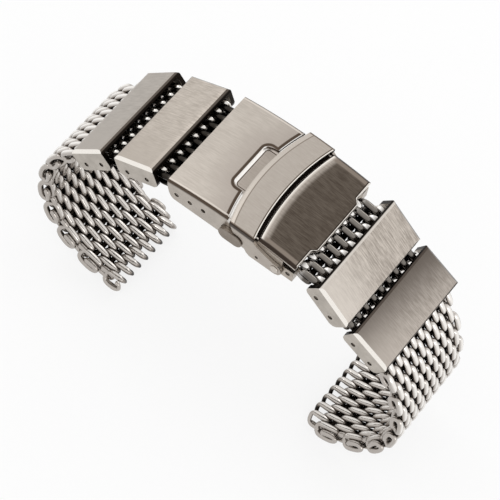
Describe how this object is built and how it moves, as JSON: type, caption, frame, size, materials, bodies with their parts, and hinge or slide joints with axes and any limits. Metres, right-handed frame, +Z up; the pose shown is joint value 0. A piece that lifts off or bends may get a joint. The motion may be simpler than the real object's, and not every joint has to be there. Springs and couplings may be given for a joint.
{
  "type": "watch bracelet",
  "caption": "Woven steel mesh watch bracelet with folded plate links and a push-button folding clasp with a flip-over safety lock",
  "frame": {"origin": "on the ground, under the middle of the bracelet's bounding box, between the two free ends that it rests on", "axes": "+X along the strap over the clasp, from the adjustment holes to the safety lock; +Y across the strap to the far side; +Z up, out of the clasp's top"},
  "size_m": [0.0884, 0.026, 0.0575],
  "materials": {
    "satin_plate": "satin stainless steel",
    "brushed_plate": "long brushed grain along the strap, polished edges",
    "dark_brushed_plate": "dark brushed stainless steel with a polished rim",
    "mesh_wire": "drawn stainless wire, lightly polished",
    "bright_pin": "bright turned steel"
  },
  "bodies": {
    "clasp": {"clasp_cover": "satin_plate", "top_pad": "dark_brushed_plate", "lock_pivots": "bright_pin", "left_bar": "bright_pin", "near_spring": "bright_pin", "far_spring": "bright_pin"},
    "lock": {"safety_lock": "satin_plate"},
    "near_push": {"near_button": "satin_plate"},
    "far_push": {"far_button": "satin_plate"},
    "inner_fold": {"inner_blade": "satin_plate", "blade_pins": "bright_pin"},
    "outer_fold": {"outer_blade": "satin_plate", "right_bar": "bright_pin"},
    "link_1": {"plate_link_1": "brushed_plate", "link_pins_1": "bright_pin"},
    "link_2": {"plate_link_2": "brushed_plate", "link_pins_2": "bright_pin"},
    "link_3": {"plate_link_3": "brushed_plate", "link_pins_3": "bright_pin"},
    "link_4": {"plate_link_4": "brushed_plate", "link_pins_4": "bright_pin"},
    "short_1": {"short_mesh_1": "mesh_wire"},
    "short_2": {"short_mesh_2": "mesh_wire"},
    "short_3": {"short_mesh_3": "mesh_wire"},
    "short_4": {"short_mesh_4": "mesh_wire"},
    "short_5": {"short_mesh_5": "mesh_wire"},
    "short_6": {"short_mesh_6": "mesh_wire"},
    "short_7": {"short_mesh_7": "mesh_wire"},
    "short_8": {"short_mesh_8": "mesh_wire"},
    "left_1": {"left_mesh_1": "mesh_wire"},
    "left_2": {"left_mesh_2": "mesh_wire"},
    "left_3": {"left_mesh_3": "mesh_wire"},
    "left_4": {"left_mesh_4": "mesh_wire"},
    "left_5": {"left_mesh_5": "mesh_wire"},
    "left_6": {"left_mesh_6": "mesh_wire"},
    "left_7": {"left_mesh_7": "mesh_wire"},
    "left_8": {"left_mesh_8": "mesh_wire"},
    "left_9": {"left_mesh_9": "mesh_wire"},
    "right_1": {"right_mesh_1": "mesh_wire"},
    "right_2": {"right_mesh_2": "mesh_wire"},
    "right_3": {"right_mesh_3": "mesh_wire"},
    "right_4": {"right_mesh_4": "mesh_wire"},
    "right_5": {"right_mesh_5": "mesh_wire"},
    "right_6": {"right_mesh_6": "mesh_wire"},
    "right_7": {"right_mesh_7": "mesh_wire"},
    "right_8": {"right_mesh_8": "mesh_wire"},
    "right_9": {"right_mesh_9": "mesh_wire"}
  },
  "joints": [
    {"name": "cover_fold", "type": "hinge", "parent": "clasp", "child": "inner_fold", "pos_m": [0.00941, 0, 0.05304], "axis": [0, -1, 0], "range_deg": [0, 170]},
    {"name": "blade_fold", "type": "hinge", "parent": "inner_fold", "child": "outer_fold", "pos_m": [-0.00758, 0, 0.05249], "axis": [0, 1, 0], "range_deg": [0, 170]},
    {"name": "lock_lift", "type": "hinge", "parent": "clasp", "child": "lock", "pos_m": [0.01137, 0, 0.05264], "axis": [0, 1, 0], "range_deg": [0, 105]},
    {"name": "near_press", "type": "slide", "parent": "clasp", "child": "near_push", "axis": [0, 1, 0], "range_m": [0, 0.0006], "stiffness_N_per_m": 800, "springref_m": -0.001, "deforming": ["near_spring"]},
    {"name": "far_press", "type": "slide", "parent": "clasp", "child": "far_push", "axis": [0, -1, 0], "range_m": [0, 0.0006], "stiffness_N_per_m": 800, "springref_m": -0.001, "deforming": ["far_spring"]},
    {"name": "left_bar_turn", "type": "hinge", "parent": "clasp", "child": "short_1", "pos_m": [-0.01145, 0, 0.05308], "axis": [0, -1, 0], "range_deg": [-4, 10]},
    {"name": "short_bend_1", "type": "hinge", "parent": "short_1", "child": "short_2", "pos_m": [-0.01652, 0, 0.05175], "axis": [0, -1, 0], "range_deg": [-8, 8]},
    {"name": "link_2_inner_turn", "type": "hinge", "parent": "short_2", "child": "link_2", "pos_m": [-0.01818, 0, 0.05121], "axis": [0, -1, 0], "range_deg": [-8, 6]},
    {"name": "link_2_outer_turn", "type": "hinge", "parent": "link_2", "child": "short_3", "pos_m": [-0.02255, 0, 0.04922], "axis": [0, -1, 0], "range_deg": [-6, 8]},
    {"name": "short_bend_3", "type": "hinge", "parent": "short_3", "child": "short_4", "pos_m": [-0.02705, 0, 0.04652], "axis": [0, -1, 0], "range_deg": [-8, 8]},
    {"name": "link_1_inner_turn", "type": "hinge", "parent": "short_4", "child": "link_1", "pos_m": [-0.02848, 0, 0.04552], "axis": [0, -1, 0], "range_deg": [-8, 6]},
    {"name": "link_1_outer_turn", "type": "hinge", "parent": "link_1", "child": "left_1", "pos_m": [-0.03181, 0, 0.04206], "axis": [0, -1, 0], "range_deg": [-3, 10]},
    {"name": "left_bend_1", "type": "hinge", "parent": "left_1", "child": "left_2", "pos_m": [-0.0331, 0, 0.04095], "axis": [0, -1, 0], "range_deg": [-10, 5]},
    {"name": "left_bend_2", "type": "hinge", "parent": "left_2", "child": "left_3", "pos_m": [-0.03768, 0, 0.03596], "axis": [0, -1, 0], "range_deg": [-14, 5]},
    {"name": "left_bend_3", "type": "hinge", "parent": "left_3", "child": "left_4", "pos_m": [-0.04091, 0, 0.03], "axis": [0, -1, 0], "range_deg": [-14, 5]},
    {"name": "left_bend_4", "type": "hinge", "parent": "left_4", "child": "left_5", "pos_m": [-0.04243, 0, 0.02341], "axis": [0, -1, 0], "range_deg": [-14, 5]},
    {"name": "left_bend_5", "type": "hinge", "parent": "left_5", "child": "left_6", "pos_m": [-0.04197, 0, 0.01667], "axis": [0, -1, 0], "range_deg": [-14, 5]},
    {"name": "left_bend_6", "type": "hinge", "parent": "left_6", "child": "left_7", "pos_m": [-0.03941, 0, 0.01042], "axis": [0, -1, 0], "range_deg": [-14, 5]},
    {"name": "left_bend_7", "type": "hinge", "parent": "left_7", "child": "left_8", "pos_m": [-0.03489, 0, 0.00541], "axis": [0, -1, 0], "range_deg": [-14, 5]},
    {"name": "left_bend_8", "type": "hinge", "parent": "left_8", "child": "left_9", "pos_m": [-0.02887, 0, 0.00238], "axis": [0, -1, 0], "range_deg": [-14, 5]},
    {"name": "right_bar_turn", "type": "hinge", "parent": "outer_fold", "child": "short_5", "pos_m": [0.01381, 0, 0.05274], "axis": [0, 1, 0], "range_deg": [-4, 10]},
    {"name": "short_bend_5", "type": "hinge", "parent": "short_5", "child": "short_6", "pos_m": [0.01884, 0, 0.052], "axis": [0, 1, 0], "range_deg": [-8, 8]},
    {"name": "link_3_inner_turn", "type": "hinge", "parent": "short_6", "child": "link_3", "pos_m": [0.02049, 0, 0.05156], "axis": [0, 1, 0], "range_deg": [-8, 6]},
    {"name": "link_3_outer_turn", "type": "hinge", "parent": "link_3", "child": "short_7", "pos_m": [0.02416, 0, 0.04848], "axis": [0, 1, 0], "range_deg": [-6, 8]},
    {"name": "short_bend_7", "type": "hinge", "parent": "short_7", "child": "short_8", "pos_m": [0.02852, 0, 0.04583], "axis": [0, 1, 0], "range_deg": [-8, 8]},
    {"name": "link_4_inner_turn", "type": "hinge", "parent": "short_8", "child": "link_4", "pos_m": [0.02999, 0, 0.04498], "axis": [0, 1, 0], "range_deg": [-8, 6]},
    {"name": "link_4_outer_turn", "type": "hinge", "parent": "link_4", "child": "right_1", "pos_m": [0.03415, 0, 0.04258], "axis": [0, 1, 0], "range_deg": [-5, 10]},
    {"name": "right_bend_1", "type": "hinge", "parent": "right_1", "child": "right_2", "pos_m": [0.03518, 0, 0.04123], "axis": [0, 1, 0], "range_deg": [-14, 5]},
    {"name": "right_bend_2", "type": "hinge", "parent": "right_2", "child": "right_3", "pos_m": [0.03887, 0, 0.03553], "axis": [0, 1, 0], "range_deg": [-14, 5]},
    {"name": "right_bend_3", "type": "hinge", "parent": "right_3", "child": "right_4", "pos_m": [0.04142, 0, 0.02925], "axis": [0, 1, 0], "range_deg": [-14, 5]},
    {"name": "right_bend_4", "type": "hinge", "parent": "right_4", "child": "right_5", "pos_m": [0.04249, 0, 0.02256], "axis": [0, 1, 0], "range_deg": [-14, 5]},
    {"name": "right_bend_5", "type": "hinge", "parent": "right_5", "child": "right_6", "pos_m": [0.04176, 0, 0.01583], "axis": [0, 1, 0], "range_deg": [-14, 5]},
    {"name": "right_bend_6", "type": "hinge", "parent": "right_6", "child": "right_7", "pos_m": [0.03902, 0, 0.00966], "axis": [0, 1, 0], "range_deg": [-14, 5]},
    {"name": "right_bend_7", "type": "hinge", "parent": "right_7", "child": "right_8", "pos_m": [0.03434, 0, 0.0048], "axis": [0, 1, 0], "range_deg": [-14, 5]},
    {"name": "right_bend_8", "type": "hinge", "parent": "right_8", "child": "right_9", "pos_m": [0.02818, 0, 0.00209], "axis": [0, 1, 0], "range_deg": [-14, 5]}
  ],
  "couplings": [
    {"joint": "blade_fold", "follows": "cover_fold", "ratio": 1}
  ]
}
